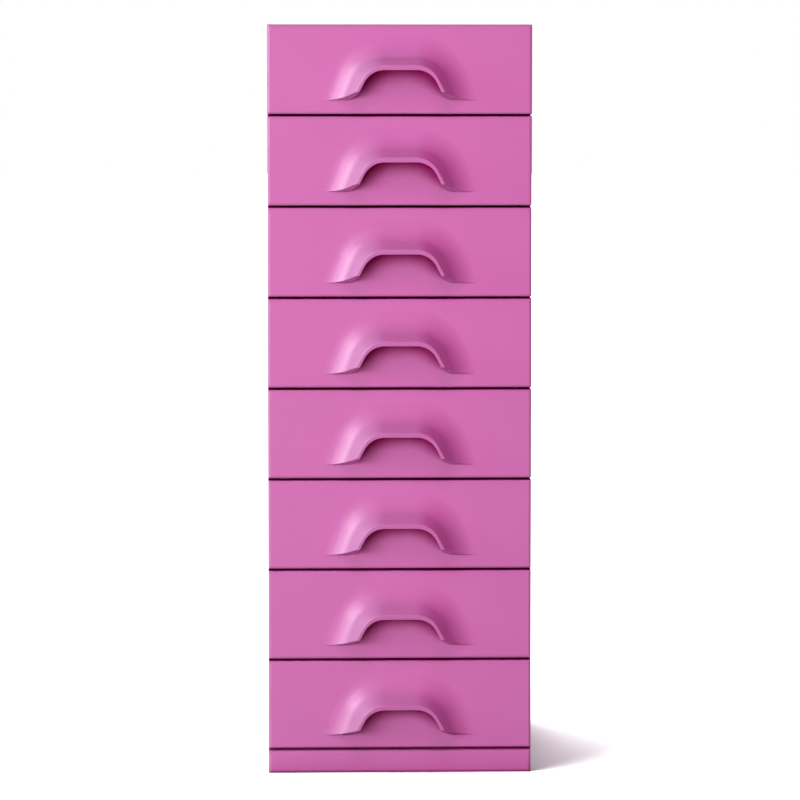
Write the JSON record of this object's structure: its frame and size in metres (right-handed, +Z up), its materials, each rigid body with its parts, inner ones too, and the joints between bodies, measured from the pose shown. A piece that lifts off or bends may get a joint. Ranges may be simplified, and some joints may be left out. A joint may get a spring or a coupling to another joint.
{
  "type": "chest of drawers",
  "caption": "Narrow tall chest of shallow full-overlay drawers for paper, each front with an integral hooded arch pull, above a flush plinth",
  "frame": {"origin": "on the floor, midway across the width and midway between the foremost point of the pulls and the back", "axes": "+Z up, -Y out of the drawer fronts toward the user, +X to the right as seen from the front"},
  "size_m": [0.29, 0.395, 0.825],
  "materials": {
    "lacquered_board": "satin pink lacquer, sprayed",
    "birch_plywood": "clear matt lacquer on pale plywood",
    "hardboard": "painted board",
    "beech": "waxed hardwood"
  },
  "bodies": {
    "cabinet": {"side_panel_left": "lacquered_board", "side_panel_right": "lacquered_board", "top_panel": "lacquered_board", "bottom_panel": "lacquered_board", "back_panel": "hardboard", "plinth_front": "lacquered_board", "plinth_rear": "lacquered_board", "runners_left": "beech", "runners_right": "beech"},
    "drawer_1": {"front_1": "lacquered_board", "inner_front_1": "birch_plywood", "box_left_1": "birch_plywood", "box_right_1": "birch_plywood", "box_back_1": "birch_plywood", "box_bottom_1": "birch_plywood"},
    "drawer_2": {"front_2": "lacquered_board", "inner_front_2": "birch_plywood", "box_left_2": "birch_plywood", "box_right_2": "birch_plywood", "box_back_2": "birch_plywood", "box_bottom_2": "birch_plywood"},
    "drawer_3": {"front_3": "lacquered_board", "inner_front_3": "birch_plywood", "box_left_3": "birch_plywood", "box_right_3": "birch_plywood", "box_back_3": "birch_plywood", "box_bottom_3": "birch_plywood"},
    "drawer_4": {"front_4": "lacquered_board", "inner_front_4": "birch_plywood", "box_left_4": "birch_plywood", "box_right_4": "birch_plywood", "box_back_4": "birch_plywood", "box_bottom_4": "birch_plywood"},
    "drawer_5": {"front_5": "lacquered_board", "inner_front_5": "birch_plywood", "box_left_5": "birch_plywood", "box_right_5": "birch_plywood", "box_back_5": "birch_plywood", "box_bottom_5": "birch_plywood"},
    "drawer_6": {"front_6": "lacquered_board", "inner_front_6": "birch_plywood", "box_left_6": "birch_plywood", "box_right_6": "birch_plywood", "box_back_6": "birch_plywood", "box_bottom_6": "birch_plywood"},
    "drawer_7": {"front_7": "lacquered_board", "inner_front_7": "birch_plywood", "box_left_7": "birch_plywood", "box_right_7": "birch_plywood", "box_back_7": "birch_plywood", "box_bottom_7": "birch_plywood"},
    "drawer_8": {"front_8": "lacquered_board", "inner_front_8": "birch_plywood", "box_left_8": "birch_plywood", "box_right_8": "birch_plywood", "box_back_8": "birch_plywood", "box_bottom_8": "birch_plywood"}
  },
  "joints": [
    {"name": "drawer_1_slide", "type": "slide", "parent": "cabinet", "child": "drawer_1", "axis": [0, -1, 0], "range_m": [0, 0.25]},
    {"name": "drawer_2_slide", "type": "slide", "parent": "cabinet", "child": "drawer_2", "axis": [0, -1, 0], "range_m": [0, 0.25]},
    {"name": "drawer_3_slide", "type": "slide", "parent": "cabinet", "child": "drawer_3", "axis": [0, -1, 0], "range_m": [0, 0.25]},
    {"name": "drawer_4_slide", "type": "slide", "parent": "cabinet", "child": "drawer_4", "axis": [0, -1, 0], "range_m": [0, 0.25]},
    {"name": "drawer_5_slide", "type": "slide", "parent": "cabinet", "child": "drawer_5", "axis": [0, -1, 0], "range_m": [0, 0.25]},
    {"name": "drawer_6_slide", "type": "slide", "parent": "cabinet", "child": "drawer_6", "axis": [0, -1, 0], "range_m": [0, 0.25]},
    {"name": "drawer_7_slide", "type": "slide", "parent": "cabinet", "child": "drawer_7", "axis": [0, -1, 0], "range_m": [0, 0.25]},
    {"name": "drawer_8_slide", "type": "slide", "parent": "cabinet", "child": "drawer_8", "axis": [0, -1, 0], "range_m": [0, 0.25]}
  ]
}
